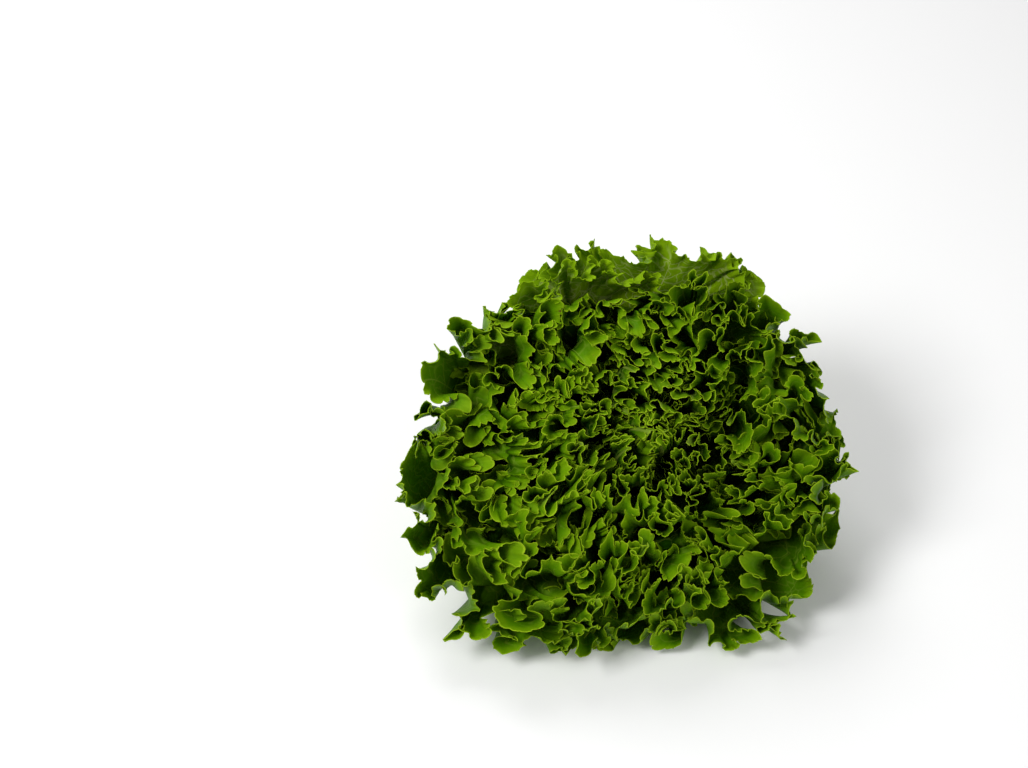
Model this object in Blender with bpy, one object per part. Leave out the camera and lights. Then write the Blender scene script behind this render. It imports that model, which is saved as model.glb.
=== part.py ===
"""A head of green curly leaf lettuce lying on its side, in metres, with +Z up.

The head is drawn upright first, on its own axis, with the cut stem at its foot. Leaf 1 is the heart and the
last leaf is the outermost. Every leaf is a sheet on its own cone round the axis, so that the leaves nest, and
the finished head is then leaned over until the outer leaves lie on the ground.
"""

import math

import bmesh
import bpy
import numpy as np

# The head
leaf_count = 39
golden_angle = math.radians(137.508)
first_heading = math.radians(24)
head_reach = 0.150
head_height = 0.165
heart_reach = 0.004
heart_layer = 0.05
rim_drop = 0.052
rim_lean = 95
outer_flare = 36

# How the head lies
lean = math.radians(38)
turn = math.radians(12)
floor_press = 0.003
flat_spot = 0.0005
head_place = (-0.0049, 0.07585)

# Where the outline stands out or in: direction in degrees, extra reach as a share, width in degrees
outline_lobes = ((205, 0.18, 38), (335, 0.14, 38), (150, 0.06, 28), (80, -0.08, 36))

# The stem
stem_radius = 0.0150
stem_top = 0.060
stem_bottom_leaf = 0.014
stem_top_radius = 0.004
stem_gap = 0.0016
stem_sides = 28

# One leaf
blade_thickness = 0.0009
rib_thickness = 0.0010
fan_angle = math.radians(100)
leaf_half_width = (0.0125, 0.117)
base_half_width = (0.007, 0.013)
row_shares = (0.0, 0.30, 0.56, 0.80, 1.0)
column_shares = (0.14, 0.26, 0.50, 1.0, 1.0)
column_length = 0.0070

# The big waves of a margin
wave_length = 0.033
wave_height = 0.0026
wave_depth = 0.055
wave_unevenness = 0.25
rim_height = 0.0050
angle_limit = 2.4

# One bend that all leaves share, so that it can't push one through the next
shared_bends = 6
shared_bend_height = 0.0032
shared_bend_length = (0.075, 0.120)
shared_bend_seed = 3

leaf_green = (0.105, 0.245, 0.012, 1.0)
heart_green = (0.260, 0.420, 0.050, 1.0)
stem_cream = (0.620, 0.640, 0.330, 1.0)


def clear_scene():
    for thing in list(bpy.data.objects):
        bpy.data.objects.remove(thing)


def mix(pair, share):
    return pair[0] + (pair[1] - pair[0]) * share


def smooth_step(low, high, value):
    share = np.clip((value - low) / (high - low), 0, 1)
    return share * share * (3 - 2 * share)


def ripple(place, seed, count=5, slowest=0.4, fastest=1.6):
    """A wandering line made of a few sines, about 1 high."""
    dice = np.random.default_rng(seed)
    speeds = dice.uniform(slowest, fastest, count)
    starts = dice.uniform(0, 2 * math.pi, count)
    waves = sum(np.sin(2 * math.pi * speed * place + start) for speed, start in zip(speeds, starts))
    return waves / math.sqrt(count / 2)


def bezier(first, second, third, fourth, share):
    rest = 1 - share
    near = rest**3 * first + 3 * rest**2 * share * second
    return near + 3 * rest * share**2 * third + share**3 * fourth


def layer_of(index):
    """0 would be the head's own axis, and 1 is the outermost leaf."""
    return mix((heart_layer, 1.0), index / (leaf_count - 1))


def layer_line(layer, share):
    """Radius and height along one leaf's middle, from its foot at share 0 to its rim at share 1."""
    foot_radius = mix((stem_top_radius, stem_radius), layer)
    foot_height = mix((stem_top, stem_bottom_leaf), layer)
    rim_radius = mix((heart_reach, head_reach), layer)
    rim_height_here = head_height - rim_drop * layer**2.2
    foot_slope = np.radians(85 - 52 * layer)
    rim_slope = np.radians(rim_lean - outer_flare * smooth_step(0.50, 1.15, layer))
    length = np.hypot(rim_radius - foot_radius, rim_height_here - foot_height)
    foot_pull = 0.42 * length
    rim_pull = 0.36 * length
    radius = bezier(
        foot_radius,
        foot_radius + foot_pull * np.cos(foot_slope),
        rim_radius - rim_pull * np.cos(rim_slope),
        rim_radius,
        share,
    )
    height = bezier(
        foot_height,
        foot_height + foot_pull * np.sin(foot_slope),
        rim_height_here - rim_pull * np.sin(rim_slope),
        rim_height_here,
        share,
    )
    return radius, height


def layer_frame(layer, share):
    """Radius and height on the layer, and the direction square to it in that plane."""
    step = 0.001
    radius, height = layer_line(layer, share)
    radius_before, height_before = layer_line(layer, share - step)
    radius_after, height_after = layer_line(layer, share + step)
    along_radius = radius_after - radius_before
    along_height = height_after - height_before
    length = np.hypot(along_radius, along_height)
    return radius, height, along_height / length, -along_radius / length


def layer_length(layer):
    radius, height = layer_line(layer, np.linspace(0, 1, 60))
    return np.hypot(np.diff(radius), np.diff(height)).sum()


def flat_leaf(layer, out, across):
    """The leaf laid flat: out is 0 at the foot and 1 at the margin, across is -1 to 1 along the margin."""
    length = layer_length(layer)
    width = mix(leaf_half_width, layer)
    foot = mix(base_half_width, layer)
    angle = across * fan_angle
    middle = 0.50 * length
    margin_x = width * np.sign(angle) * np.abs(np.sin(angle)) ** 0.8
    ahead = np.cos(angle)
    above = (length - middle) * np.abs(ahead) ** 0.75
    below = 0.86 * middle * ahead
    margin_y = middle + np.where(ahead > 0, above, below)
    rest = 1 - out
    x = rest**2 * foot * across + 2 * rest * out * 0.75 * foot * across + out**2 * margin_x
    y = 2 * rest * out * 0.52 * margin_y + out**2 * margin_y
    return x, y


def margin_of(layer, samples=800):
    """The places across a leaf's margin, and how far along the margin each one is."""
    across = np.linspace(-1, 1, samples)
    x, y = flat_leaf(layer, 1.0, across)
    along = np.concatenate([[0], np.cumsum(np.hypot(np.diff(x), np.diff(y)))])
    return across, along


def shared_bend(points):
    dice = np.random.default_rng(shared_bend_seed)
    moved = np.zeros_like(points)
    amount = smooth_step(0.03, 0.14, np.linalg.norm(points - [0, 0, 0.03], axis=-1))
    for _ in range(shared_bends):
        length = dice.uniform(*shared_bend_length)
        travel = dice.normal(size=3) * [1, 1, 0.4]
        travel /= np.linalg.norm(travel)
        push = dice.normal(size=3)
        push -= travel * (push @ travel) * 0.7
        push /= np.linalg.norm(push)
        phase = 2 * math.pi * (points @ travel) / length + dice.uniform(0, 2 * math.pi)
        moved += shared_bend_height * np.sin(phase)[..., None] * push
    return points + moved * amount[..., None]


def outline_reach(points):
    """Stretches the head sideways where the outline stands out."""
    direction = np.degrees(np.arctan2(points[..., 1], points[..., 0]))
    far = smooth_step(0.02, 0.12, np.hypot(points[..., 0], points[..., 1]))
    reach = np.ones_like(direction)
    for lobe, extra, width in outline_lobes:
        apart = (direction - lobe + 180) % 360 - 180
        reach += extra * far * np.exp(-((apart / width) ** 2))
    return points * np.stack([reach, reach, np.ones_like(reach)], -1)


def lean_over(points):
    """Leans the upright head towards -Y, turns it, lifts its stem rim onto the ground and centres it."""
    x, y, z = points[..., 0], points[..., 1], points[..., 2]
    lift = stem_radius * math.sin(lean)
    leaned_y = y * math.cos(lean) - z * math.sin(lean)
    leaned_z = y * math.sin(lean) + z * math.cos(lean) + lift
    turned_x = x * math.cos(turn) - leaned_y * math.sin(turn)
    turned_y = x * math.sin(turn) + leaned_y * math.cos(turn)
    return np.stack([turned_x + head_place[0], turned_y + head_place[1], leaned_z], -1)


def press_on_ground(points):
    """Low parts of the leaves bend up instead of going below the ground."""
    lowest = blade_thickness / 2
    points = points.copy()
    points[..., 2] = lowest + floor_press * np.logaddexp(0, (points[..., 2] - lowest) / floor_press)
    return points


def leaf_points(index, out, across, along, margin_length):
    """Places on one leaf, in the finished pose. The arrays all have the same length."""
    layer = layer_of(index)
    dice = np.random.default_rng(900 + index)
    heading = first_heading + index * golden_angle + dice.uniform(-0.05, 0.05)
    length = layer_length(layer)
    x, y = flat_leaf(layer, out, across)
    margin_x, margin_y = flat_leaf(layer, 1.0, across)
    column = np.hypot(margin_x, margin_y)
    from_margin = (1 - out) * column
    grown = smooth_step(0.0, 0.45, out)
    ends = smooth_step(0, 0.04, along / margin_length) * smooth_step(0, 0.04, 1 - along / margin_length)
    phase = along / wave_length + wave_unevenness * ripple(along / (3 * wave_length), 21 + index, 4)
    wave = wave_height * smooth_step(-0.05, 0.42, layer) * np.exp(-from_margin / wave_depth) * grown * ends
    wave = wave * np.sin(2 * math.pi * phase + dice.uniform(0, 6))
    uneven = rim_height * (0.4 + 0.6 * layer) * ripple(along / 0.035, 91 + index, 5, 0.3, 1.0)
    stretch = 1 + np.exp(-from_margin / 0.014) * uneven * ends / length
    share = np.clip(y * stretch / length, 0, 1.15)
    radius, height, out_radius, out_height = layer_frame(layer, share)
    angle = x * stretch / np.maximum(radius, 0.010)
    angle = heading + angle_limit * np.tanh(angle / angle_limit)
    radius = radius + out_radius * wave
    height = height + out_height * wave
    points = np.stack([radius * np.cos(angle), radius * np.sin(angle), height], -1)
    return press_on_ground(lean_over(outline_reach(shared_bend(points))))


def zip_rows(lower, upper, lower_start, upper_start):
    """Triangles between two rows of points whose places along the row are given."""
    faces = []
    a, b = 0, 0
    while a < len(lower) - 1 or b < len(upper) - 1:
        lower_next = lower[a + 1] if a < len(lower) - 1 else 9
        upper_next = upper[b + 1] if b < len(upper) - 1 else 9
        if lower_next <= upper_next:
            faces.append((lower_start + a, lower_start + a + 1, upper_start + b))
            a += 1
        else:
            faces.append((lower_start + a, upper_start + b + 1, upper_start + b))
            b += 1
    return faces


def leaf_sheet(index):
    """The middle surface of a leaf: its points, triangles, outline and thickness."""
    layer = layer_of(index)
    across, along = margin_of(layer)
    columns = max(14, round(along[-1] / column_length))
    shares, outs, starts = [], [], []
    count = 0
    for row, part in zip(row_shares, column_shares):
        number = max(3, round(columns * part))
        shares.append(np.linspace(0, 1, number + 1))
        outs.append(np.full(number + 1, row))
        starts.append(count)
        count += number + 1
    faces = []
    for row in range(len(row_shares) - 1):
        faces += zip_rows(shares[row], shares[row + 1], starts[row], starts[row + 1])
    left = list(starts)
    right = [start + len(row) - 1 for start, row in zip(starts, shares)]
    bottom = list(range(starts[0], starts[0] + len(shares[0])))
    top = list(range(starts[-1], starts[-1] + len(shares[-1])))
    outline = bottom + right[1:-1] + top[::-1] + left[-2:0:-1]
    share = np.concatenate(shares)
    out = np.concatenate(outs)
    place = share * along[-1]
    points = leaf_points(index, out, np.interp(place, along, across), place, along[-1])
    middle_share = 1 - np.abs(2 * share - 1)
    thickness = blade_thickness + rib_thickness * (1 - out) ** 2 * middle_share
    return points, np.array(faces), outline, thickness


def point_normals(points, faces):
    corner, first, second = (points[faces[:, k]] for k in range(3))
    square = np.cross(first - corner, second - corner)
    normals = np.zeros_like(points)
    for k in range(3):
        np.add.at(normals, faces[:, k], square)
    return normals / np.linalg.norm(normals, axis=1)[:, None]


def make_leaf(index, material):
    points, faces, outline, thickness = leaf_sheet(index)
    normals = point_normals(points, faces)
    half = normals * thickness[:, None] / 2
    front = points + half
    back = points - half
    both = np.concatenate([front, back])
    count = len(points)
    rim = []
    for here, there in zip(outline, outline[1:] + outline[:1]):
        rim.append((there, here, here + count))
        rim.append((there, here + count, there + count))
    back_faces = faces[:, ::-1] + count
    shell = np.concatenate([faces, back_faces, np.array(rim)])
    both[:, 2] = np.where(both[:, 2] < flat_spot, 0.0, both[:, 2])
    return add_object(f"leaf_{index + 1:02d}", both, shell, material)


def add_object(name, points, faces, material):
    mesh = bpy.data.meshes.new(name)
    mesh.from_pydata([tuple(p) for p in points], [], [tuple(int(k) for k in f) for f in faces])
    mesh.materials.append(material)
    faces_out(mesh)
    thing = bpy.data.objects.new(name, mesh)
    bpy.context.scene.collection.objects.link(thing)
    return thing


def faces_out(mesh):
    shape = bmesh.new()
    shape.from_mesh(mesh)
    bmesh.ops.recalc_face_normals(shape, faces=shape.faces)
    if shape.calc_volume(signed=True) < 0:
        bmesh.ops.reverse_faces(shape, faces=shape.faces)
    shape.to_mesh(mesh)
    shape.free()


def stem_outline():
    """Radius and height of the stem: a flat cut, a short butt, then the core that narrows to the heart."""
    core_foot = stem_radius - stem_gap
    tip_radius = max(stem_top_radius - stem_gap, 0.0022)
    return [
        (stem_radius, 0.0),
        (1.01 * stem_radius, 0.0045),
        (0.96 * stem_radius, 0.0085),
        (core_foot, stem_bottom_leaf - 0.002),
        (mix((core_foot, tip_radius), 0.5), mix((stem_bottom_leaf, stem_top), 0.5)),
        (tip_radius, stem_top - 0.002),
        (0.5 * tip_radius, stem_top + 0.001),
    ]


def make_stem(material):
    rings = stem_outline()
    turns = np.arange(stem_sides) * 2 * math.pi / stem_sides
    points = [(r * math.cos(a), r * math.sin(a), z) for r, z in rings for a in turns]
    points += [(0, 0, rings[0][1]), (0, 0, rings[-1][1])]
    faces = []
    for ring in range(len(rings) - 1):
        for side in range(stem_sides):
            a = ring * stem_sides + side
            b = ring * stem_sides + (side + 1) % stem_sides
            faces.append((a, b, b + stem_sides))
            faces.append((a, b + stem_sides, a + stem_sides))
    last = (len(rings) - 1) * stem_sides
    for side in range(stem_sides):
        after = (side + 1) % stem_sides
        faces.append((after, side, len(points) - 2))
        faces.append((last + side, last + after, len(points) - 1))
    return add_object("stem", lean_over(np.array(points)), faces, material)


def make_material(name, color, roughness):
    material = bpy.data.materials.new(name)
    material.use_nodes = True
    shader = material.node_tree.nodes["Principled BSDF"]
    shader.inputs["Base Color"].default_value = color
    shader.inputs["Roughness"].default_value = roughness
    shader.inputs["Metallic"].default_value = 0.0
    return material


def leaf_color(index):
    heart = 1 - smooth_step(0.05, 0.40, layer_of(index))
    return tuple(mix((green, pale), float(heart)) for green, pale in zip(leaf_green, heart_green))


def main():
    clear_scene()
    make_stem(make_material("cut_stem", stem_cream, 0.6))
    for index in range(leaf_count):
        name = f"leaf_green_{index + 1:02d}"
        make_leaf(index, make_material(name, leaf_color(index), 0.45))


main()
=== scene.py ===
import math

import bpy
import numpy as np
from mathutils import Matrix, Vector


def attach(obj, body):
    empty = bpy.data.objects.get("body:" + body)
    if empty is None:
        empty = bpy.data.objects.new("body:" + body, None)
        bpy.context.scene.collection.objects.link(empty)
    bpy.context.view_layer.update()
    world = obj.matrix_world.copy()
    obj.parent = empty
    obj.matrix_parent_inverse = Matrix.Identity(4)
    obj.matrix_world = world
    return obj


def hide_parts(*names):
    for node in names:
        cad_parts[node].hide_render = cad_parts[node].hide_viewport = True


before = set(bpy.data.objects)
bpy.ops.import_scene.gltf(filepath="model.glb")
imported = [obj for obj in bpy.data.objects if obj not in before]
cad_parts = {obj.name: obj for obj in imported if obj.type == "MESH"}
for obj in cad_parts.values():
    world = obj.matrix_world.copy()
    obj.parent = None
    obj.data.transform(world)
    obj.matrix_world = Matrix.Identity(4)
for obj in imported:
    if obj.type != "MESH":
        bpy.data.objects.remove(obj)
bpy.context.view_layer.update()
headBody = "root"
tiny = 1e-15

# How the leaves are set round the stem, as in the frame
head = {
    "leafCount": 39,
    "turnPerLeaf": math.radians(137.508),
    "firstHeading": math.radians(24),
    "headingPlay": 0.05,
    "reach": 0.150,
    "height": 0.165,
    "heartReach": 0.004,
    "heartLayer": 0.05,
    "rimDrop": 0.052,
    "rimDropPower": 2.2,
    "rimSlope": 95,
    "rimFlare": 36,
    "flareLayers": (0.50, 1.15),
    "footSlope": (85, 33),
    "footPull": 0.42,
    "rimPull": 0.36,
    "lineSteps": 60,
    "heartLeaves": 12,
}

# How the head lies on the ground
lie = {
    "lean": math.radians(38),
    "turn": math.radians(12),
    "groundPress": 0.003,
    "place": (-0.0049, 0.07585),
    "lobes": ((205, 0.18, 38), (335, 0.14, 38), (150, 0.06, 28), (80, -0.08, 36)),  # heading, extra, width
    "lobeFrom": (0.02, 0.12),
    "bends": 6,
    "bendHeight": 0.0032,
    "bendLength": (0.075, 0.120),
    "bendCentre": (0, 0, 0.03),
    "bendFrom": (0.03, 0.14),
    "bendRise": 0.4,
    "bendAside": 0.7,
    "bendSeed": 3,
}

stemLook = {
    "radius": 0.0150,
    "top": 0.060,
    "bottomLeaf": 0.014,
    "topRadius": 0.004,
    "gap": 0.0016,
    "turns": 120,
    "unevenRadius": 0.0005,
    "unevenLobes": (2, 3, 5, 8, 13),
    "unevenSeed": 7,
    "cutDish": 0.0007,
    "cutHeight": 0.0012,
    "cutUneven": 0.00018,
    "cutLobes": (3, 4, 7, 11),
    "cutSeed": 9,
    "cutRings": (0.02, 0.90, 16),  # first and last share of the radius, and how many
    "bevel": 0.0012,
    "bevelRings": (0, 1.5, 7),
    "sideRings": ((1.01, 0.0045), (0.995, 0.0065), (0.96, 0.0085)),  # share of the radius, and height
    "coreInset": 0.002,
    "coreShares": (0.25, 0.5, 0.75),
    "leastTip": 0.0022,
    "tipRings": ((1.0, -0.002), (0.5, 0.001), (0.05, 0.0012)),
}

# The plain outline of one leaf. A pair is for the heart and for the outermost leaf, here and in frill,
# but one named Layers, Speeds, Limits, Shares or From is a range or a set of its own
leafCut = {
    "fan": math.radians(100),
    "halfWidth": (0.0200, 0.119),
    "footHalfWidth": (0.007, 0.013),
    "widestAt": 0.50,
    "sidePower": 0.8,
    "tipPower": 0.75,
    "lowerShare": 0.86,
    "footWiden": 0.75,
    "footRise": 0.52,
    "thickness": 0.00050,
    "edgeThickness": 0.00028,
    "edgeDepth": 0.004,
    "midribHeight": (0.0004, 0.0024),
    "midribWidth": (0.0016, 0.0042),
    "midribLayers": (0.3, 1.0),
    "midribEnd": 0.85,
    "midribTaper": 0.75,
    "rimUneven": 0.0050,
    "rimUnevenShare": (0.4, 1.0),
    "rimUnevenSpan": 0.035,
    "rimUnevenSpeeds": (0.3, 1.0),
    "rimUnevenDepth": 0.014,
    "widestTurn": 2.4,
    "leastRadius": 0.010,
    "longest": 1.2,
    "outwardFrom": 0.3,
    "paleBackLayers": (0.70, 0.92),
    "openLayers": (0.60, 1.0),
    "openest": 1.5,
    "mapEdge": 0.01,
    "mapHeight": 0.48,
}

# The grid of points of one leaf: every column is kept in the frill, and fewer of them deeper in
leafGrid = {
    "spacing": (0.00109, 0.00145),
    "stepDepths": (0.007, 0.016, 0.032),
    "rows": 20,
    "rowPower": 1.9,
    "marginSteps": 5000,
    "slopeStep": 0.001,
    "leastSlope": 1e-12,
}

# The waves of a margin, from the broad sweeps down to the small crimps
frill = {
    "sweepLength": 0.033,
    "sweepHeight": (0.0050, 0.0115),
    "sweepLayers": (-0.10, 0.85),
    "sweepDepth": (0.018, 0.032),
    "sweepOverhang": 0.065,
    "sweepUneven": 0.25,
    "sweepPlay": 0.3,
    "sweepPlaySpan": 0.09,
    "sweepLimits": (0.7, 1.5),
    "loopLayers": (0.05, 0.22, 0.50, 1.0),
    "loopLength": (0.0085, 0.0102, 0.0150, 0.0190),
    "loopHeight": (0.0038, 0.0046, 0.0056, 0.0058),
    "loopDepth": (0.0062, 0.0130),
    "loopShares": (0.65, 0.35),
    "loopDeeper": 2.2,
    "loopOverhang": 0.075,
    "loopPoint": (0.0026, 0.0044),
    "loopPointPower": 0.55,
    "loopUneven": 0.38,
    "loopPlay": 0.50,
    "loopPlaySpan": 2.6,
    "loopLimits": (0.62, 1.7),
    "loopSide": 0.85,
    "loopSideGain": 1.6,
    "loopSideSpan": 2.5,
    "pointGather": 0.11,
    "crimpLength": (0.0060, 0.0085),
    "crimpHeight": (0.0009, 0.0012),
    "crimpDepth": (0.003, 0.0045),
    "crimpOverhang": 0.05,
    "crimpUneven": 0.25,
    "crimpPlay": 0.6,
    "crimpPlaySpan": 4,
    "crimpLimits": (0.0, 1.9),
    "tooth": 0.0023,
    "toothShift": 0.7,
    "toothPower": 0.8,
    "toothUsual": 0.6,
    "toothPlay": 0.6,
    "toothPlaySpan": 0.02,
    "toothLimits": (0, 1.4),
    "smallUneven": 0.0006,
    "smallSpan": 0.012,
    "smallSpeeds": (0.4, 1.4),
    "tipDepth": 0.006,
    "rollLayers": (0.05, 0.14, 0.22, 0.78, 1.0),
    "rollHeight": (0.003, 0.004, 0.005, 0.012, 0.012),
    "rollDepth": (0.008, 0.024),
    "openLeaves": {37: (0.78, -0.1), 32: (0.85, 0.3)},  # counted from 0: share of the waves and of the roll
    "otherLeaves": (1, 1),
    "heartLean": 0.011,
    "heartLeanDepth": 0.014,
    "heartLeanLayers": (0.18, 0.05),
    "grownFrom": (0.0, 0.45),
    "endShare": 0.04,
    "unevenSpan": 3,
    "latestStart": 6,
}

# Each is added to a leaf's number
seeds = {
    "leaf": 900,
    "sweep": 21,
    "loop": 31,
    "sweepPlay": 41,
    "loopPlay": 51,
    "loopSide": 61,
    "crimp": 71,
    "crimpPlay": 81,
    "rimUneven": 91,
    "smallUneven": 95,
    "tooth": 97,
}


def between(pair, share):
    return pair[0] + (pair[1] - pair[0]) * share


def easeStep(low, high, value):
    share = np.clip((value - low) / (high - low), 0, 1)
    return share * share * (3 - 2 * share)


def wander(place, seed, count=5, slowest=0.4, fastest=1.6):  # a few sines that add up to about 1 high
    dice = np.random.default_rng(seed)
    speeds = dice.uniform(slowest, fastest, count)
    starts = dice.uniform(0, 2 * math.pi, count)
    waves = sum(np.sin(2 * math.pi * speed * place + start) for speed, start in zip(speeds, starts))
    return waves / math.sqrt(count / 2)


def wanderRound(angle, seed, lobes):  # like wander, but it closes on itself round the stem
    dice = np.random.default_rng(seed)
    starts = dice.uniform(0, 2 * math.pi, len(lobes))
    return sum(np.sin(lobe * angle + start) for lobe, start in zip(lobes, starts)) / math.sqrt(len(lobes))


def curvePoint(first, second, third, fourth, share):
    rest = 1 - share
    near = rest**3 * first + 3 * rest**2 * share * second
    return near + 3 * rest * share**2 * third + share**3 * fourth


def layerOf(index):  # 0 would be the axis of the head, 1 is the outermost leaf
    return between((head["heartLayer"], 1.0), index / (head["leafCount"] - 1))


def leafLine(layer, share):  # radius and height along a leaf's middle, from foot to rim
    footRadius = between((stemLook["topRadius"], stemLook["radius"]), layer)
    footHeight = between((stemLook["top"], stemLook["bottomLeaf"]), layer)
    rimRadius = between((head["heartReach"], head["reach"]), layer)
    rimHeight = head["height"] - head["rimDrop"] * layer ** head["rimDropPower"]
    footSlope = np.radians(between(head["footSlope"], layer))
    rimSlope = np.radians(head["rimSlope"] - head["rimFlare"] * easeStep(*head["flareLayers"], layer))
    length = np.hypot(rimRadius - footRadius, rimHeight - footHeight)
    footPull = head["footPull"] * length
    rimPull = head["rimPull"] * length
    radius = curvePoint(
        footRadius,
        footRadius + footPull * np.cos(footSlope),
        rimRadius - rimPull * np.cos(rimSlope),
        rimRadius,
        share,
    )
    height = curvePoint(
        footHeight,
        footHeight + footPull * np.sin(footSlope),
        rimHeight - rimPull * np.sin(rimSlope),
        rimHeight,
        share,
    )
    return radius, height


def leafLineSide(layer, share, step=0.001):  # the same, with the direction square to the leaf
    radius, height = leafLine(layer, share)
    radiusBefore, heightBefore = leafLine(layer, share - step)
    radiusAfter, heightAfter = leafLine(layer, share + step)
    alongRadius = radiusAfter - radiusBefore
    alongHeight = heightAfter - heightBefore
    length = np.hypot(alongRadius, alongHeight)
    return radius, height, alongHeight / length, -alongRadius / length


def leafLength(layer):
    radius, height = leafLine(layer, np.linspace(0, 1, head["lineSteps"]))
    return np.hypot(np.diff(radius), np.diff(height)).sum()


def flatLeaf(layer, out, across):  # the leaf laid flat, out from foot to margin and across it from -1 to 1
    length = leafLength(layer)
    width = between(leafCut["halfWidth"], layer)
    foot = between(leafCut["footHalfWidth"], layer)
    angle = across * leafCut["fan"]
    middle = leafCut["widestAt"] * length
    marginX = width * np.sign(angle) * np.abs(np.sin(angle)) ** leafCut["sidePower"]
    ahead = np.cos(angle)
    above = (length - middle) * np.abs(ahead) ** leafCut["tipPower"]
    below = leafCut["lowerShare"] * middle * ahead
    marginY = middle + np.where(ahead > 0, above, below)
    rest = 1 - out
    bow = 2 * rest * out
    x = rest**2 * foot * across + bow * leafCut["footWiden"] * foot * across + out**2 * marginX
    y = bow * leafCut["footRise"] * marginY + out**2 * marginY
    return x, y


def rowDirections(layer, out, across):  # which way each row runs, and how long it is against the margin
    step = leafGrid["slopeStep"]
    beforeX, beforeY = flatLeaf(layer, out, across - step)
    afterX, afterY = flatLeaf(layer, out, across + step)
    alongX = afterX - beforeX
    alongY = afterY - beforeY
    size = np.hypot(alongX, alongY) + leafGrid["leastSlope"]
    return alongX / size, alongY / size, size / size[-1:, :]


def lengthAlong(x, y):
    return np.concatenate([[0], np.cumsum(np.hypot(np.diff(x), np.diff(y)))])


def bendTogether(points):  # a few slow bends for the whole head, which keep the leaves apart
    dice = np.random.default_rng(lie["bendSeed"])
    moved = np.zeros_like(points)
    amount = easeStep(*lie["bendFrom"], np.linalg.norm(points - lie["bendCentre"], axis=-1))
    for _ in range(lie["bends"]):
        length = dice.uniform(*lie["bendLength"])
        travel = dice.normal(size=3) * [1, 1, lie["bendRise"]]
        travel /= np.linalg.norm(travel)
        push = dice.normal(size=3)
        push -= travel * (push @ travel) * lie["bendAside"]
        push /= np.linalg.norm(push)
        phase = 2 * math.pi * (points @ travel) / length + dice.uniform(0, 2 * math.pi)
        moved += lie["bendHeight"] * np.sin(phase)[..., None] * push
    return points + moved * amount[..., None]


def reachOut(points):  # the outline stands out in some directions and draws in at another
    direction = np.degrees(np.arctan2(points[..., 1], points[..., 0]))
    far = easeStep(*lie["lobeFrom"], np.hypot(points[..., 0], points[..., 1]))
    reach = np.ones_like(direction)
    for lobe, extra, width in lie["lobes"]:
        apart = (direction - lobe + 180) % 360 - 180
        reach += extra * far * np.exp(-((apart / width) ** 2))
    return points * np.stack([reach, reach, np.ones_like(reach)], -1)


def leanOver(points):
    x = points[..., 0]
    y = points[..., 1]
    z = points[..., 2]
    lean = lie["lean"]
    turn = lie["turn"]
    leanedY = y * math.cos(lean) - z * math.sin(lean)
    leanedZ = y * math.sin(lean) + z * math.cos(lean) + stemLook["radius"] * math.sin(lean)
    turnedX = x * math.cos(turn) - leanedY * math.sin(turn)
    turnedY = x * math.sin(turn) + leanedY * math.cos(turn)
    return np.stack([turnedX + lie["place"][0], turnedY + lie["place"][1], leanedZ], -1)


def pressOnGround(points):
    lowest = leafCut["thickness"] / 2
    press = lie["groundPress"]
    points = points.copy()
    points[..., 2] = lowest + press * np.logaddexp(0, (points[..., 2] - lowest) / press)
    return points


def nearMargin(fromMargin, depth):  # 1 at the margin, fading inwards
    return np.exp(-fromMargin / depth)


def pointedWave(phase, side):  # a sine at side 0, arcs that meet in points above at 1 and below at -1
    pointsAbove = 1 - 2 * np.abs(np.cos(phase / 2 + math.pi / 4))
    pointsBelow = 2 * np.abs(np.cos(phase / 2 - math.pi / 4)) - 1
    pointed = np.where(side > 0, pointsAbove, pointsBelow)
    return between((np.sin(phase), pointed), np.abs(side))


def foldRows(x, y, amount, height, overhang, length, phase, side=0.0):  # folds each row up and down
    stepX = np.gradient(x, axis=-1)
    stepY = np.gradient(y, axis=-1)
    size = np.hypot(stepX, stepY) + tiny
    stepX = stepX / size
    stepY = stepY / size
    up = amount * height * pointedWave(phase, side)
    rolled = -overhang * np.sin(2 * phase) * (1 - np.abs(side))
    gathered = frill["pointGather"] * np.cos(phase) * side
    back = amount * length * (rolled + gathered)
    return x - stepY * up + stepX * back, y + stepX * up + stepY * back


def wavePhase(along, length, uneven, seed, start, count=5):  # waves of one length, some a little early
    turns = along / length + uneven * wander(along / (frill["unevenSpan"] * length), seed, count)
    return 2 * math.pi * turns + start


def waveSize(along, span, play, limits, seed, count=5):  # how tall the waves are against their usual height
    return np.clip(1 + play * wander(along / span, seed, count), *limits)


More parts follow.
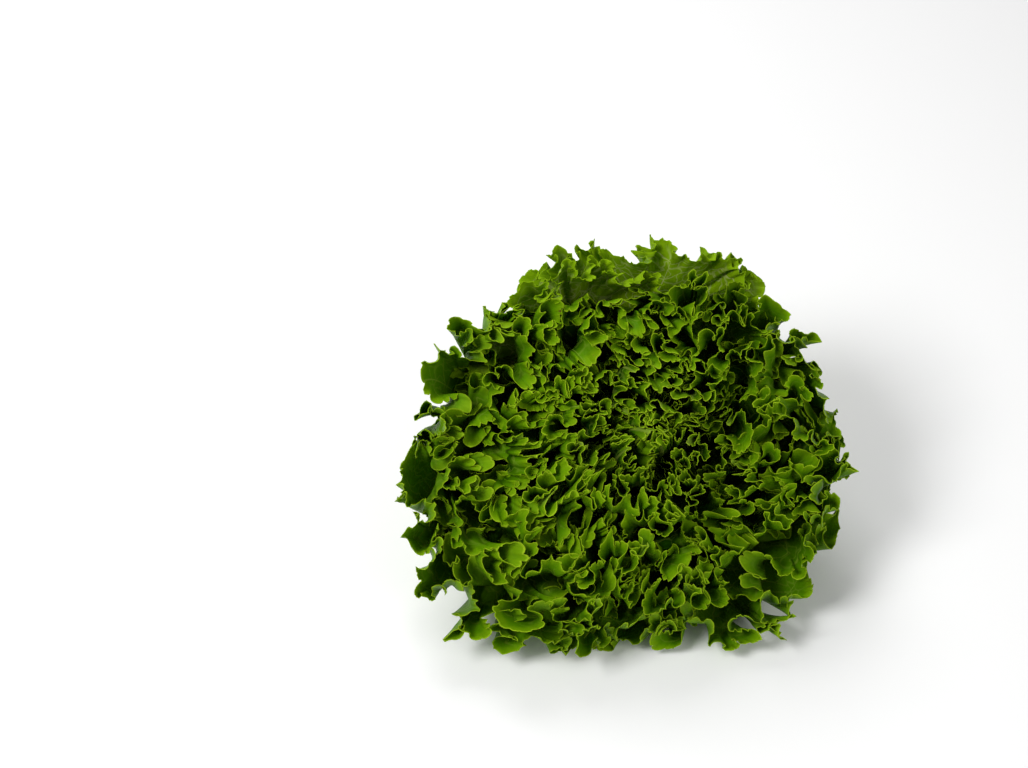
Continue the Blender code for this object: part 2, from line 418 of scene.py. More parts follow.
def marginWaves(index, layer, dice):  # phases and heights of the waves along a leaf's margin, evenly spaced
    across = np.linspace(-1, 1, leafGrid["marginSteps"])
    marginX, marginY = flatLeaf(layer, 1.0, across)
    along = lengthAlong(marginX, marginY)
    share = along / along[-1]
    ends = easeStep(0, frill["endShare"], share) * easeStep(0, frill["endShare"], 1 - share)
    calm = frill["openLeaves"].get(index, frill["otherLeaves"])[0]

    length = frill["sweepLength"]
    start = dice.uniform(0, frill["latestStart"])
    sweepPhase = wavePhase(along, length, frill["sweepUneven"], seeds["sweep"] + index, start, 4)
    playSeed = seeds["sweepPlay"] + index
    size = waveSize(along, frill["sweepPlaySpan"], frill["sweepPlay"], frill["sweepLimits"], playSeed, 4)
    sweepHeight = between(frill["sweepHeight"], easeStep(*frill["sweepLayers"], layer)) * size * calm
    x, y = foldRows(along, 0 * along, ends, sweepHeight, frill["sweepOverhang"], length, sweepPhase)
    sweptAlong = lengthAlong(x, y)

    length = np.interp(layer, frill["loopLayers"], frill["loopLength"])
    start = dice.uniform(0, frill["latestStart"])
    loopPhase = wavePhase(sweptAlong, length, frill["loopUneven"], seeds["loop"] + index, start)
    playSpan = frill["loopPlaySpan"] * length
    playSeed = seeds["loopPlay"] + index
    size = waveSize(sweptAlong, playSpan, frill["loopPlay"], frill["loopLimits"], playSeed)
    loopHeight = np.interp(layer, frill["loopLayers"], frill["loopHeight"]) * size * calm
    sideWander = wander(sweptAlong / (frill["loopSideSpan"] * length), seeds["loopSide"] + index)
    loopSide = frill["loopSide"] * np.clip(frill["loopSideGain"] * sideWander, -1, 1)
    x, y = foldRows(x, y, ends, loopHeight, frill["loopOverhang"], length, loopPhase, loopSide)
    loopedAlong = lengthAlong(x, y)

    length = between(frill["crimpLength"], layer)
    start = dice.uniform(0, frill["latestStart"])
    crimpPhase = wavePhase(loopedAlong, length, frill["crimpUneven"], seeds["crimp"] + index, start)
    playSpan = frill["crimpPlaySpan"] * length
    playSeed = seeds["crimpPlay"] + index
    size = waveSize(loopedAlong, playSpan, frill["crimpPlay"], frill["crimpLimits"], playSeed, 6)
    crimpHeight = between(frill["crimpHeight"], layer) * size

    coarsest = 2 ** len(leafGrid["stepDepths"])
    columns = int(loopedAlong[-1] / between(leafGrid["spacing"], layer) / coarsest) * coarsest
    even = np.linspace(0, loopedAlong[-1], columns + 1)
    lines = {
        "along": along,
        "across": across,
        "ends": ends,
        "sweptAlong": sweptAlong,
        "sweepPhase": sweepPhase,
        "sweepHeight": sweepHeight,
        "loopPhase": loopPhase,
        "loopHeight": loopHeight,
        "loopSide": loopSide,
        "crimpPhase": crimpPhase,
        "crimpHeight": crimpHeight,
    }
    return {name: np.interp(even, loopedAlong, line) for name, line in lines.items()}


def foldLeaf(index, layer, wave, fromMargin, grown, narrow):  # how far each point moves sideways and up
    short = np.minimum(1, narrow)
    sweep = nearMargin(fromMargin, between(frill["sweepDepth"], layer)) * grown
    loopDepth = between(frill["loopDepth"], layer)
    outerLoop = frill["loopShares"][0] * nearMargin(fromMargin, loopDepth)
    deeperLoop = frill["loopShares"][1] * nearMargin(fromMargin, frill["loopDeeper"] * loopDepth)
    loop = (outerLoop + deeperLoop) * grown
    crimp = nearMargin(fromMargin, between(frill["crimpDepth"], layer)) * grown
    loopLength = np.interp(layer, frill["loopLayers"], frill["loopLength"]) * short
    crimpLength = between(frill["crimpLength"], layer) * short
    side = wave["loopSide"]

    flatAlong = wave["along"][None, :] * narrow
    overhang = frill["sweepOverhang"] * frill["sweepLength"] * short
    sideways = flatAlong - sweep * overhang * np.sin(2 * wave["sweepPhase"])
    up = sweep * wave["sweepHeight"] * np.sin(wave["sweepPhase"])
    rollShare = frill["openLeaves"].get(index, frill["otherLeaves"])[1]
    rollHeight = rollShare * np.interp(layer, frill["rollLayers"], frill["rollHeight"])
    up = up - rollHeight * nearMargin(fromMargin, between(frill["rollDepth"], layer)) * grown
    height, phase = wave["loopHeight"], wave["loopPhase"]
    sideways, up = foldRows(sideways, up, loop, height, frill["loopOverhang"], loopLength, phase, side)
    height, phase = wave["crimpHeight"], wave["crimpPhase"]
    sideways, up = foldRows(sideways, up, crimp, height, frill["crimpOverhang"], crimpLength, phase, side)
    return sideways - flatAlong, up


def rimTeeth(index, layer, wave):  # how far the points, teeth and small unevenness stand out of the margin
    sweptAlong = wave["sweptAlong"]
    smallPlace = sweptAlong / frill["smallSpan"]
    smallWander = wander(smallPlace, seeds["smallUneven"] + index, 5, *frill["smallSpeeds"])
    small = frill["smallUneven"] * smallWander
    toothPlay = frill["toothPlay"] * wander(sweptAlong / frill["toothPlaySpan"], seeds["tooth"] + index)
    toothSize = np.clip(frill["toothUsual"] + toothPlay, *frill["toothLimits"])
    toothWave = np.abs(np.sin(wave["crimpPhase"] / 2 + frill["toothShift"])) ** frill["toothPower"]
    teeth = -frill["tooth"] * toothWave * toothSize
    pointWave = 1 - np.abs(np.cos(wave["loopPhase"])) ** frill["loopPointPower"]
    tips = between(frill["loopPoint"], layer) * pointWave
    return small + teeth + tips


def growLeaf(index):  # a leaf's middle surface as rows of points, with each point's place on the flat leaf
    layer = layerOf(index)
    dice = np.random.default_rng(seeds["leaf"] + index)
    heading = head["firstHeading"] + index * head["turnPerLeaf"]
    heading += dice.uniform(-head["headingPlay"], head["headingPlay"])
    length = leafLength(layer)
    wave = marginWaves(index, layer, dice)
    out = (1 - (1 - np.linspace(0, 1, leafGrid["rows"] + 1)) ** leafGrid["rowPower"])[:, None]
    across = wave["across"][None, :]
    x, y = flatLeaf(layer, out, across)
    marginX, marginY = flatLeaf(layer, 1.0, across)
    fromMargin = (1 - out) * np.hypot(marginX, marginY)
    grown = easeStep(*frill["grownFrom"], out) * wave["ends"]
    alongX, alongY, narrow = rowDirections(layer, out, across)
    sideways, up = foldLeaf(index, layer, wave, fromMargin, grown, narrow)

    unevenPlace = wave["along"] / leafCut["rimUnevenSpan"]
    unevenWander = wander(unevenPlace, seeds["rimUneven"] + index, 5, *leafCut["rimUnevenSpeeds"])
    uneven = leafCut["rimUneven"] * between(leafCut["rimUnevenShare"], layer) * unevenWander
    stretch = 1 + nearMargin(fromMargin, leafCut["rimUnevenDepth"]) * uneven * wave["ends"] / length
    push = nearMargin(fromMargin, frill["tipDepth"]) * rimTeeth(index, layer, wave) * wave["ends"]
    outX = -alongY
    outY = alongX
    facing = np.sign(outX * x + outY * (y - leafCut["outwardFrom"] * length))
    flatX = x * stretch + alongX * sideways + outX * facing * push
    flatY = y * stretch + alongY * sideways + outY * facing * push

    # The flat leaf is wrapped round the axis of the head, and the whole head is then bent and laid down
    share = np.clip(flatY / length, 0, leafCut["longest"])
    radius, height, sideRadius, sideHeight = leafLineSide(layer, share)
    angle = flatX / np.maximum(radius, leafCut["leastRadius"])
    angle = heading + leafCut["widestTurn"] * np.tanh(angle / leafCut["widestTurn"])
    radius = radius + sideRadius * up
    height = height + sideHeight * up
    points = np.stack([radius * np.cos(angle), radius * np.sin(angle), height], -1)
    lean = frill["heartLean"] * easeStep(*frill["heartLeanLayers"], layer)
    inward = lean * nearMargin(fromMargin, frill["heartLeanDepth"])
    points[..., 0] -= inward * math.cos(heading)
    points[..., 1] -= inward * math.sin(heading)
    points = pressOnGround(leanOver(reachOut(bendTogether(points))))
    return {"layer": layer, "points": points, "x": x, "y": y, "fromMargin": fromMargin, "length": length}


def rowNormals(points):  # square to the surface at each point of the grid, towards the heart
    alongColumn = np.gradient(points, axis=0)
    alongRow = np.gradient(points, axis=1)
    normals = np.cross(alongColumn, alongRow)
    return normals / (np.linalg.norm(normals, axis=-1, keepdims=True) + tiny)


def rowSteps(fromMargin):  # 1 where a row keeps every column, then 2, 4 and 8 towards the foot
    depth = fromMargin.mean(axis=1)
    steps = 2 ** np.searchsorted(leafGrid["stepDepths"], depth, side="right")
    for row in range(len(steps) - 2, -1, -1):
        steps[row] = min(steps[row], 2 * steps[row + 1])
    return steps


def leafFaces(kept):  # triangles between rows, the points of each row given by their numbers
    triangles = []
    for lower, upper in zip(kept[:-1], kept[1:]):
        if len(lower) == len(upper):
            triangles.append(np.stack([lower[:-1], lower[1:], upper[1:]], -1))
            triangles.append(np.stack([lower[:-1], upper[1:], upper[:-1]], -1))
        else:
            left = upper[:-1:2]
            middle = upper[1::2]
            right = upper[2::2]
            triangles.append(np.stack([lower[:-1], middle, left], -1))
            triangles.append(np.stack([lower[:-1], lower[1:], middle], -1))
            triangles.append(np.stack([lower[1:], right, middle], -1))
    return np.concatenate(triangles)


def rimFaces(kept, count):  # triangles round the leaf's edge, from the back sheet to the front one
    outline = np.concatenate([
        kept[0],
        [row[-1] for row in kept[1:-1]],
        kept[-1][::-1],
        [row[0] for row in kept[-2:0:-1]],
    ])
    ahead = np.roll(outline, -1)
    return np.concatenate([
        np.stack([ahead, outline, outline + count], -1),
        np.stack([ahead, outline + count, ahead + count], -1),
    ])


def writeMesh(name, points, triangles):
    mesh = bpy.data.meshes.new(name)
    mesh.vertices.add(len(points))
    mesh.vertices.foreach_set("co", points.astype(np.float32).ravel())
    mesh.loops.add(3 * len(triangles))
    mesh.loops.foreach_set("vertex_index", triangles.astype(np.int32).ravel())
    mesh.polygons.add(len(triangles))
    mesh.polygons.foreach_set("loop_start", np.arange(0, 3 * len(triangles), 3, dtype=np.int32))
    mesh.update(calc_edges=True)
    mesh.shade_smooth()
    return mesh


def addNumbers(mesh, name, values):
    layer = mesh.attributes.new(name, "FLOAT", "POINT")
    layer.data.foreach_set("value", values.astype(np.float32))


def addMap(mesh, name, places):  # places are per point
    corners = np.empty(len(mesh.loops), np.int32)
    mesh.loops.foreach_get("vertex_index", corners)
    layer = mesh.uv_layers.new(name=name)
    layer.uv.foreach_set("vector", places[corners].astype(np.float32).ravel())


def midribOf(grown):  # how far the midrib stands out of the leaf's back
    share = np.clip(grown["y"] / grown["length"], 0, 1)
    height = between(leafCut["midribHeight"], easeStep(*leafCut["midribLayers"], grown["layer"]))
    height = height * (1 - easeStep(0.0, leafCut["midribEnd"], share))
    width = between(leafCut["midribWidth"], grown["layer"]) * (1 - leafCut["midribTaper"] * share)
    return height * np.exp(-((grown["x"] / width) ** 2))


def makeLeaf(index, material):
    grown = growLeaf(index)
    points = grown["points"]
    normals = rowNormals(points)
    fromMargin = grown["fromMargin"]
    inward = np.clip(fromMargin / leafCut["edgeDepth"], 0, 1)
    half = (between((leafCut["edgeThickness"], leafCut["thickness"]), inward) / 2)[..., None]
    front = points + normals * half
    back = points - normals * (half + midribOf(grown)[..., None])

    kept = []
    chosen = []
    count = 0
    columns = points.shape[1]
    numbers = np.arange(points.shape[0] * columns).reshape(points.shape[:2])
    for row, step in enumerate(rowSteps(fromMargin)):
        picked = numbers[row, ::step]
        chosen.append(picked)
        kept.append(np.arange(count, count + len(picked)))
        count += len(picked)
    chosen = np.concatenate(chosen)
    sheet = leafFaces(kept)
    shell = np.concatenate([sheet, sheet[:, ::-1] + count, rimFaces(kept, count)])
    both = np.concatenate([back.reshape(-1, 3)[chosen], front.reshape(-1, 3)[chosen]])
    both[:, 2] = np.maximum(both[:, 2], 0)
    name = f"frilly_leaf_{index + 1:02d}"
    mesh = writeMesh(name, both, shell)

    for key, label in (("fromMargin", "fromMargin"), ("x", "leafX"), ("y", "leafY")):
        addNumbers(mesh, label, np.tile(grown[key].ravel()[chosen], 2))
    paleBack = easeStep(*leafCut["paleBackLayers"], grown["layer"])
    addNumbers(mesh, "leafBack", np.repeat([paleBack, 0.0], count))
    # leafOpen lessens the painted shade on the outer leaves, and on the open leaves, set above 1, it paints
    # light on them
    leafOpen = easeStep(*leafCut["openLayers"], grown["layer"])
    if index in frill["openLeaves"]:
        leafOpen = leafCut["openest"]
    addNumbers(mesh, "leafOpen", np.full(2 * count, leafOpen))

    # The back sheet takes the lower half of the map and the front sheet the upper half
    edge = leafCut["mapEdge"]
    spread = np.broadcast_to(np.linspace(edge, 1 - edge, columns), points.shape[:2])
    rise = 1 - fromMargin / fromMargin.max()
    lower = np.stack([spread.ravel()[chosen], edge + leafCut["mapHeight"] * rise.ravel()[chosen]], -1)
    addMap(mesh, "OFBake", np.concatenate([lower, lower + [0, 0.5]]))
    mesh.materials.append(material)
    leaf = bpy.data.objects.new(name, mesh)
    bpy.context.scene.collection.objects.link(leaf)
    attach(leaf, headBody)
    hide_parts(f"leaf_{index + 1:02d}")
    return len(shell)


def stemProfile():  # radius and height from the middle of the cut face out, up the butt and the core
    radius = stemLook["radius"]
    bevel = stemLook["bevel"]
    foot = stemLook["bottomLeaf"]
    top = stemLook["top"]
    coreFoot = radius - stemLook["gap"]
    tip = max(stemLook["topRadius"] - stemLook["gap"], stemLook["leastTip"])
    profile = []
    for share in np.linspace(*stemLook["cutRings"]):
        profile.append((radius * share, stemLook["cutDish"] * (1 - share**4)))
    for angle in np.linspace(*stemLook["bevelRings"]):
        profile.append((radius - bevel * (1 - math.sin(angle)), bevel * (1 - math.cos(angle))))
    for share, height in stemLook["sideRings"]:
        profile.append((share * radius, height))
    profile.append((coreFoot, foot - stemLook["coreInset"]))
    for share in stemLook["coreShares"]:
        profile.append((between((coreFoot, tip), share), between((foot, top), share)))
    for share, above in stemLook["tipRings"]:
        profile.append((share * tip, top + above))
    return np.array(profile)


def makeStem(material):
    profile = stemProfile()
    turns = stemLook["turns"]
    angle = np.linspace(0, 2 * math.pi, turns, endpoint=False)
    sideWander = wanderRound(angle, stemLook["unevenSeed"], stemLook["unevenLobes"])
    uneven = 1 - stemLook["unevenRadius"] / stemLook["radius"] * (1 + sideWander)
    radius = profile[:, :1] * uneven[None, :]
    height = np.broadcast_to(profile[:, 1:], radius.shape).copy()
    inFace = np.clip(profile[:, :1] / stemLook["radius"], 0, 1) * (profile[:, 1:] < stemLook["cutHeight"])
    cutWander = wanderRound(angle, stemLook["cutSeed"], stemLook["cutLobes"])
    height += stemLook["cutUneven"] * inFace * (1 + cutWander)[None, :]
    points = np.stack([radius * np.cos(angle), radius * np.sin(angle), height], -1)

    numbers = np.arange(points.shape[0] * turns).reshape(-1, turns)
    after = np.roll(numbers, -1, axis=1)
    near = numbers[:-1].ravel()
    far = numbers[1:].ravel()
    nearNext = after[:-1].ravel()
    farNext = after[1:].ravel()
    sides = np.concatenate([np.stack([near, far, farNext], -1), np.stack([near, farNext, nearNext], -1)])
    centre = np.full(turns, points.shape[0] * turns)
    cap = np.stack([centre, numbers[0], after[0]], -1)
    tip = np.stack([centre + 1, after[-1], numbers[-1]], -1)
    ends = [[0, 0, stemLook["cutDish"]], [0, 0, profile[-1, 1]]]
    allPoints = np.concatenate([points.reshape(-1, 3), ends])
    leaned = leanOver(allPoints)
    leaned[:, 2] = np.maximum(leaned[:, 2], 0)
    mesh = writeMesh("cut_stem", leaned, np.concatenate([sides, cap, tip])[:, ::-1])
    addNumbers(mesh, "stemRadius", np.hypot(allPoints[:, 0], allPoints[:, 1]))
    addNumbers(mesh, "stemHeight", allPoints[:, 2])
    mesh.materials.append(material)
    stem = bpy.data.objects.new("cut_stem", mesh)
    bpy.context.scene.collection.objects.link(stem)
    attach(stem, headBody)
    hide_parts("stem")
    return len(mesh.polygons)


def feed(tree, socket, value):  # links another node's result, or sets a number or a colour
    if isinstance(value, bpy.types.NodeSocket):
        tree.links.new(value, socket)
    else:
        socket.default_value = value


def doMath(tree, operation, first, second=0.0, third=None, clamp=False):
    node = tree.nodes.new("ShaderNodeMath")
    node.operation = operation
    node.use_clamp = clamp
    feed(tree, node.inputs[0], first)
    feed(tree, node.inputs[1], second)
    if third is not None:
        feed(tree, node.inputs[2], third)
    return node.outputs[0]


def times(tree, first, second):
    return doMath(tree, "MULTIPLY", first, second)


def timesPlus(tree, first, second, third, clamp=False):
    return doMath(tree, "MULTIPLY_ADD", first, second, third, clamp)


def restOf(tree, value):  # what is left of 1
    return doMath(tree, "SUBTRACT", 1.0, value, clamp=True)


def centred(tree, value):  # a noise value, from 0 to 1, made to go either way
    return doMath(tree, "SUBTRACT", value, 0.5)


def readNumbers(tree, name):
    node = tree.nodes.new("ShaderNodeAttribute")
    node.attribute_name = name
    return node.outputs["Fac"]


def mixColor(tree, amount, first, second):
    node = tree.nodes.new("ShaderNodeMix")
    node.data_type = "RGBA"
    feed(tree, node.inputs[0], amount)
    for socket, value in ((node.inputs[6], first), (node.inputs[7], second)):  # its two colour sockets
        feed(tree, socket, value if isinstance(value, bpy.types.NodeSocket) else (*value, 1.0))
    return node.outputs[2]  # its colour result


def fade(tree, value, limits):  # 0 below the first limit and 1 above the second
    node = tree.nodes.new("ShaderNodeMapRange")
    node.interpolation_type = "SMOOTHSTEP"
    tree.links.new(value, node.inputs["Value"])
    node.inputs["From Min"].default_value = limits[0]
    node.inputs["From Max"].default_value = limits[1]
    return node.outputs["Result"]


def noise(tree, grain, vector=None):
    scale, detail, rough = grain
    node = tree.nodes.new("ShaderNodeTexNoise")
    node.inputs["Scale"].default_value = scale
    node.inputs["Detail"].default_value = detail
    node.inputs["Roughness"].default_value = rough
    if vector is None:
        vector = tree.nodes.new("ShaderNodeTexCoord").outputs["Object"]
    tree.links.new(vector, node.inputs["Vector"])
    return node.outputs["Fac"]


def addBump(tree, relief, strength, distance):
    bump = tree.nodes.new("ShaderNodeBump")
    bump.inputs["Strength"].default_value = strength
    bump.inputs["Distance"].default_value = distance
    tree.links.new(relief, bump.inputs["Height"])
    return bump.outputs[0]


def flatPlace(tree, x, y):
    node = tree.nodes.new("ShaderNodeCombineXYZ")
    tree.links.new(x, node.inputs["X"])
    tree.links.new(y, node.inputs["Y"])
    return node.outputs[0]


# The veins and the grain of every leaf: a grain is its scale, detail and roughness, a fade is in metres
leafPattern = {
    "wobbleGrain": (55.0, 2.0, 0.5),
    "wobble": 0.020,
    "sideClimb": 0.85,
    "sideApart": 0.0075,
    "sideFade": (0.00015, 0.0009),
    "sideShare": 0.75,
    "netStretch": 0.7,
    "netScale": 105.0,
    "netFade": (0.01, 0.075),
    "netShare": 0.50,
    "ribWidth": 0.0042,
    "ribTaper": -0.030,
    "leastRib": 0.0005,
    "ribFade": (0.0, 0.6),
    "veinFade": (0.002, 0.012),
    "patchGrain": (70.0, 4.0, 0.6),
    "patchShift": 0.012,
    "edgeFade": (0.0001, 0.0010),
    "rimFade": (0.000, 0.008),
    "openShadeCut": -0.85,
    "veinShare": 0.50,
    "paintedLightFade": (1.0, 1.5),
    "paintedLightShare": 0.85,
    "backVeins": -0.75,
    "footFade": (0.012, 0.060),
    "backPaler": 0.08,
    "speckGrain": (240.0, 2.0, 0.5),
    "speckFade": (0.735, 0.765),
    "speckReach": (0.0015, 0.005),
    "fineGrain": (420.0, 3.0, 0.6),
    "fineShare": 0.25,
    "blisterGrain": (120.0, 2.0, 0.5),
    "blisterShare": 0.8,
    "veinSink": -0.45,
    "bumpDepth": 0.0012,
    "roughGrain": (90.0, 2.0, 0.5),
    "roughPlay": 0.16,
}

outerGreen = {
    # partly the margin's own paler colour, partly a painted highlight on the thin rim
    "edge": (0.350, 0.530, 0.016),
    "rim": (0.190, 0.365, 0.003),
    "blade": (0.098, 0.255, 0.0013),
    # the step from rim to blade and on to this darkest green is painted shade down between the frills
    "paintedShade": (0.012, 0.058, 0.0003),
    "vein": (0.300, 0.440, 0.045),
    # painted light on the broad faces of the open leaves
    "paintedLight": (0.290, 0.490, 0.006),
    "paleVein": (0.640, 0.720, 0.240),
    "foot": (0.560, 0.620, 0.330),
    "paintedShadeFade": (0.007, 0.022),
    "brown": (0.170, 0.085, 0.020),
    "roughness": 0.42,
    "shine": 0.09,
    "shineTint": (0.70, 1.0, 0.10),
    "glow": 0.24,
    "bump": 0.35,
}

# The same for the heart leaves, but with darker rim, blade and deepest greens and a quicker fade into them,
# which is painted shade of the pit they sit in; paler veins and foot, a little more glow and less bump
heartGreenPaintedShade = {
    **outerGreen,
    "rim": (0.136, 0.275, 0.0025),
    "blade": (0.060, 0.162, 0.0008),
    "paintedShade": (0.009, 0.045, 0.0003),
    "vein": (0.350, 0.480, 0.060),
    "foot": (0.600, 0.650, 0.360),
    "paintedShadeFade": (0.004, 0.013),
    "glow": 0.26,
    "bump": 0.30,
}


def leafVeins(tree, leafX, leafY, fromMargin):
    pattern = leafPattern
    place = flatPlace(tree, leafX, leafY)
    sideways = doMath(tree, "ABSOLUTE", leafX)
    wobble = times(tree, centred(tree, noise(tree, pattern["wobbleGrain"], place)), pattern["wobble"])

    # Side veins climb away from the midrib, and a net of small veins fills the rest
    climb = doMath(tree, "SUBTRACT", leafY, times(tree, sideways, pattern["sideClimb"]))
    climb = doMath(tree, "ADD", climb, wobble)
    ripples = doMath(tree, "PINGPONG", climb, pattern["sideApart"])
    sideVein = restOf(tree, fade(tree, ripples, pattern["sideFade"]))
    netX = doMath(tree, "ADD", leafX, wobble)
    netY = times(tree, climb, pattern["netStretch"])
    net = tree.nodes.new("ShaderNodeTexVoronoi")
    net.feature = "DISTANCE_TO_EDGE"
    net.inputs["Scale"].default_value = pattern["netScale"]
    tree.links.new(flatPlace(tree, netX, netY), net.inputs["Vector"])
    netVein = restOf(tree, fade(tree, net.outputs["Distance"], pattern["netFade"]))
    ribWidth = timesPlus(tree, leafY, pattern["ribTaper"], pattern["ribWidth"])
    ribWidth = doMath(tree, "MAXIMUM", ribWidth, pattern["leastRib"])
    rib = restOf(tree, doMath(tree, "DIVIDE", sideways, ribWidth))
    rib = fade(tree, rib, pattern["ribFade"])
    sideVein = times(tree, sideVein, pattern["sideShare"])
    netVein = times(tree, netVein, pattern["netShare"])
    veins = doMath(tree, "MAXIMUM", sideVein, netVein)
    veins = times(tree, veins, fade(tree, fromMargin, pattern["veinFade"]))
    return doMath(tree, "MAXIMUM", veins, rib)


def leafColor(tree, look, veins, leafY, fromMargin):
    pattern = leafPattern
    leafBack = readNumbers(tree, "leafBack")
    leafOpen = readNumbers(tree, "leafOpen")

    # Yellow-green at the very edge, partly the margin's own paler green and partly a painted highlight on
    # the thin rim; darker down in the leaf, which is painted shade between the frills, less of it on the
    # outer leaves
    patchy = centred(tree, noise(tree, pattern["patchGrain"]))
    shifted = timesPlus(tree, patchy, pattern["patchShift"], fromMargin)
    # The edge green is partly the margin's own colour and partly a painted highlight where the thin rim
    # catches light
    color = mixColor(tree, fade(tree, fromMargin, pattern["edgeFade"]), look["edge"], look["rim"])
    color = mixColor(tree, fade(tree, shifted, pattern["rimFade"]), color, look["blade"])
    shaded = timesPlus(tree, leafOpen, pattern["openShadeCut"], 1.0, clamp=True)
    deeper = times(tree, fade(tree, shifted, look["paintedShadeFade"]), shaded)
    color = mixColor(tree, deeper, color, look["paintedShade"])
    color = mixColor(tree, times(tree, veins, pattern["veinShare"]), color, look["vein"])

    # On the open leaves a lighter yellow-green is painted light on their broad faces, and their veins show,
    # more on the front than on the back
    paintedLight = fade(tree, leafOpen, pattern["paintedLightFade"])
    color = mixColor(tree, times(tree, paintedLight, pattern["paintedLightShare"]), color, look["paintedLight"])
    paleShare = times(tree, paintedLight, timesPlus(tree, leafBack, pattern["backVeins"], 1.0))
    color = mixColor(tree, times(tree, veins, paleShare), color, look["paleVein"])
    footward = restOf(tree, fade(tree, leafY, pattern["footFade"]))
    color = mixColor(tree, footward, color, look["foot"])
    color = mixColor(tree, times(tree, leafBack, pattern["backPaler"]), color, look["vein"])

    # A few brown specks near the edge
    specks = fade(tree, noise(tree, pattern["speckGrain"]), pattern["speckFade"])
    nearEdge = restOf(tree, fade(tree, fromMargin, pattern["speckReach"]))
    return mixColor(tree, times(tree, specks, nearEdge), color, look["brown"])


def leafMaterial(name, look):
    material = bpy.data.materials.new(name)
    material.use_nodes = True
    tree = material.node_tree
    tree.nodes.clear()
    pattern = leafPattern
    fromMargin = readNumbers(tree, "fromMargin")
    leafX = readNumbers(tree, "leafX")
    leafY = readNumbers(tree, "leafY")
    veins = leafVeins(tree, leafX, leafY, fromMargin)
    color = leafColor(tree, look, veins, leafY, fromMargin)

    fine = times(tree, noise(tree, pattern["fineGrain"]), pattern["fineShare"])
    relief = timesPlus(tree, noise(tree, pattern["blisterGrain"]), pattern["blisterShare"], fine)
    relief = timesPlus(tree, veins, pattern["veinSink"], relief)
    bump = addBump(tree, relief, look["bump"], pattern["bumpDepth"])

    skin = tree.nodes.new("ShaderNodeBsdfPrincipled")
    tree.links.new(color, skin.inputs["Base Color"])
    smoothest = look["roughness"] - pattern["roughPlay"] / 2
    rough = timesPlus(tree, noise(tree, pattern["roughGrain"]), pattern["roughPlay"], smoothest)
    tree.links.new(rough, skin.inputs["Roughness"])
    tree.links.new(bump, skin.inputs["Normal"])
    skin.inputs["Specular IOR Level"].default_value = look["shine"]
    skin.inputs["Specular Tint"].default_value = (*look["shineTint"], 1.0)
    through = tree.nodes.new("ShaderNodeBsdfTranslucent")
    tree.links.new(color, through.inputs["Color"])
    tree.links.new(bump, through.inputs["Normal"])
    both = tree.nodes.new("ShaderNodeMixShader")
    both.inputs[0].default_value = look["glow"]
    tree.links.new(skin.outputs[0], both.inputs[1])
    tree.links.new(through.outputs[0], both.inputs[2])
    output = tree.nodes.new("ShaderNodeOutputMaterial")
    tree.links.new(both.outputs[0], output.inputs["Surface"])
    return material


stemCream = {
    "flesh": (0.700, 0.720, 0.480),
    "ring": (0.560, 0.600, 0.300),
    "skin": (0.600, 0.650, 0.340),
    "stain": (0.420, 0.270, 0.110),
    "cloudGrain": (180.0, 4.0, 0.6),
    "cloudShift": 0.003,
    "ringRadius": 0.0098,
    "ringFade": (0.0, 0.0022),
    "ringShare": 0.8,
    "cutFade": (0.0008, 0.0030),
    "rustFade": (0.0105, 0.0150),
    "rustShare": 0.75,
    "blotchGrain": (320.0, 3.0, 0.6),
    "blotchFade": (0.55, 0.75),
    "blotchShare": 0.45,
    "smoothest": 0.43,
    "roughPlay": 0.25,
    "bumpGrain": (700.0, 4.0, 0.65),
    "bump": 0.35,
    "bumpDepth": 0.0006,
}


def stemMaterial(name, look):
    material = bpy.data.materials.new(name)
    material.use_nodes = True
    tree = material.node_tree
    skin = tree.nodes["Principled BSDF"]
    radius = readNumbers(tree, "stemRadius")
    height = readNumbers(tree, "stemHeight")
    cloud = noise(tree, look["cloudGrain"])
    wavy = timesPlus(tree, centred(tree, cloud), look["cloudShift"], radius)

    # A greener ring in the cut face, and rust at its rim and in blotches
    apart = doMath(tree, "ABSOLUTE", doMath(tree, "SUBTRACT", wavy, look["ringRadius"]))
    ring = restOf(tree, fade(tree, apart, look["ringFade"]))
    color = mixColor(tree, times(tree, ring, look["ringShare"]), look["flesh"], look["ring"])
    aboveCut = fade(tree, height, look["cutFade"])
    color = mixColor(tree, aboveCut, color, look["skin"])
    inCut = restOf(tree, aboveCut)
    rust = times(tree, times(tree, fade(tree, wavy, look["rustFade"]), inCut), look["rustShare"])
    color = mixColor(tree, rust, color, look["stain"])
    blotch = times(tree, fade(tree, noise(tree, look["blotchGrain"]), look["blotchFade"]), inCut)
    color = mixColor(tree, times(tree, blotch, look["blotchShare"]), color, look["stain"])
    tree.links.new(color, skin.inputs["Base Color"])
    rough = timesPlus(tree, cloud, look["roughPlay"], look["smoothest"])
    tree.links.new(rough, skin.inputs["Roughness"])
    bump = addBump(tree, noise(tree, look["bumpGrain"]), look["bump"], look["bumpDepth"])
    tree.links.new(bump, skin.inputs["Normal"])
    return material


print("head: growing the leaves")
outerLeaf = leafMaterial("leaf_green", outerGreen)
# The heart leaves take the darker copy, painted shade of the pit at the centre
heartLeaf = leafMaterial("heart_leaf_green_painted_shade", heartGreenPaintedShade)
faceCount = 0
for leafIndex in range(head["leafCount"]):
    faceCount += makeLeaf(leafIndex, heartLeaf if leafIndex < head["heartLeaves"] else outerLeaf)
print("head: leaves made, triangles", faceCount)

stemCount = makeStem(stemMaterial("stem_cream", stemCream))
print("head: stem made, triangles", stemCount)

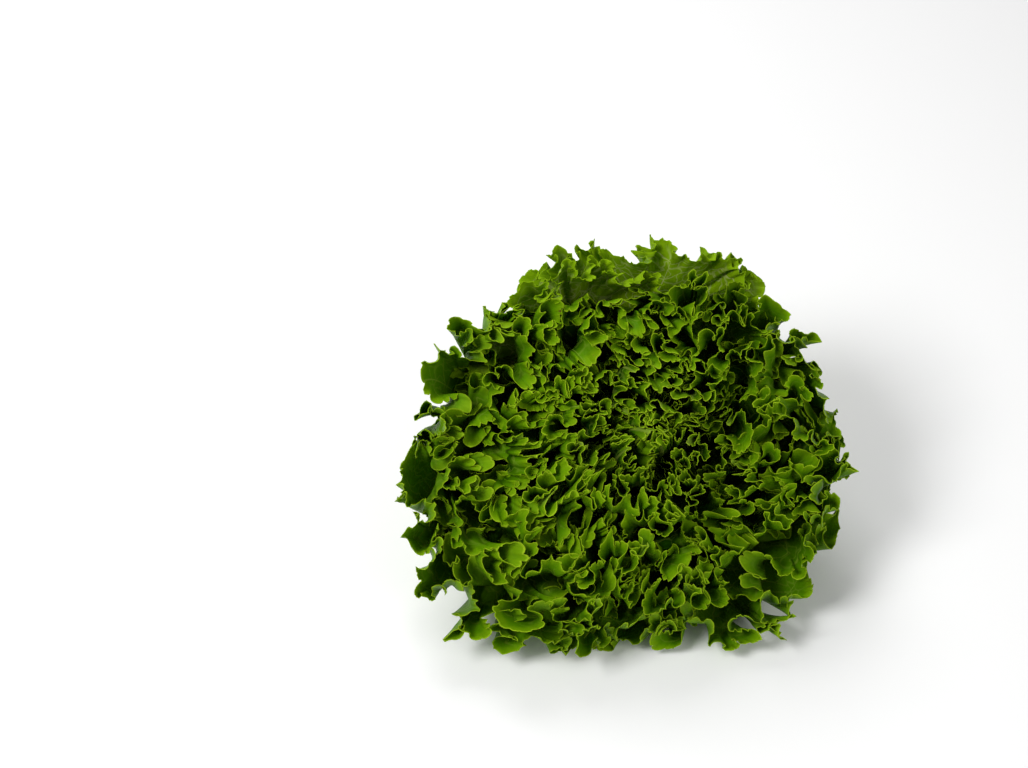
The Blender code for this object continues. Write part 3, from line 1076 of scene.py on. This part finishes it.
studio = {
    "floorSize": 6.0,
    "floorColor": (0.90, 0.90, 0.90),
    "floorLighter": 1.02,
    "floorGrain": (3.0, 2.0, 0.5),
    "floorRoughness": 0.9,
    "skyColor": (1.0, 1.0, 1.0),
    "skyStrength": 0.25,
    "keyPlace": (-1.15, -0.55, 1.5),
    "keySize": 0.7,
    "keyPower": 27.0,
    "fillPlace": (1.4, -1.0, 1.2),
    "fillSize": 1.0,
    "fillPower": 12.0,
    "backPlace": (-0.3, 1.0, 1.3),
    "backSize": 0.8,
    "backPower": 11.0,
    "aim": (0.0, 0.0, 0.10),
}


def makeFloor():
    half = studio["floorSize"] / 2
    mesh = bpy.data.meshes.new("floor")
    corners = [(-half, -half, 0), (half, -half, 0), (half, half, 0), (-half, half, 0)]
    mesh.from_pydata(corners, [], [(0, 1, 2, 3)])
    material = bpy.data.materials.new("pale_floor")
    material.use_nodes = True
    tree = material.node_tree
    skin = tree.nodes["Principled BSDF"]
    paper = noise(tree, studio["floorGrain"])
    lighter = tuple(min(1.0, value * studio["floorLighter"]) for value in studio["floorColor"])
    tree.links.new(mixColor(tree, paper, studio["floorColor"], lighter), skin.inputs["Base Color"])
    skin.inputs["Roughness"].default_value = studio["floorRoughness"]
    mesh.materials.append(material)
    floor = bpy.data.objects.new("floor", mesh)
    bpy.context.scene.collection.objects.link(floor)


def makeLight(name, place, size, power):
    light = bpy.data.lights.new(name, "AREA")
    light.size = size
    light.energy = power
    lamp = bpy.data.objects.new(name, light)
    lamp.location = place
    lamp.rotation_euler = (Vector(studio["aim"]) - Vector(place)).to_track_quat("-Z", "Y").to_euler()
    bpy.context.scene.collection.objects.link(lamp)


def makeWorld():
    world = bpy.data.worlds.new("studio")
    world.use_nodes = True
    background = world.node_tree.nodes["Background"]
    background.inputs["Color"].default_value = (*studio["skyColor"], 1.0)
    background.inputs["Strength"].default_value = studio["skyStrength"]
    bpy.context.scene.world = world


view = {
    "lens": 65.0,
    "elevation": math.radians(47),
    "distance": 1.275,
    "aim": (-0.0745, 0.0488, 0.111),
}


def makeCamera():
    camera = bpy.data.objects.new("camera", bpy.data.cameras.new("camera"))
    camera.data.lens = view["lens"]
    aim = Vector(view["aim"])
    back = Vector((0, -math.cos(view["elevation"]), math.sin(view["elevation"])))
    camera.location = aim + view["distance"] * back
    camera.rotation_euler = (aim - camera.location).to_track_quat("-Z", "Y").to_euler()
    bpy.context.scene.collection.objects.link(camera)
    bpy.context.scene.camera = camera


makeFloor()
makeLight("key_light", studio["keyPlace"], studio["keySize"], studio["keyPower"])
makeLight("fill_light", studio["fillPlace"], studio["fillSize"], studio["fillPower"])
makeLight("back_light", studio["backPlace"], studio["backSize"], studio["backPower"])
makeWorld()
makeCamera()
bpy.context.scene.view_settings.view_transform = "Standard"
print("studio: floor, lights and camera made")
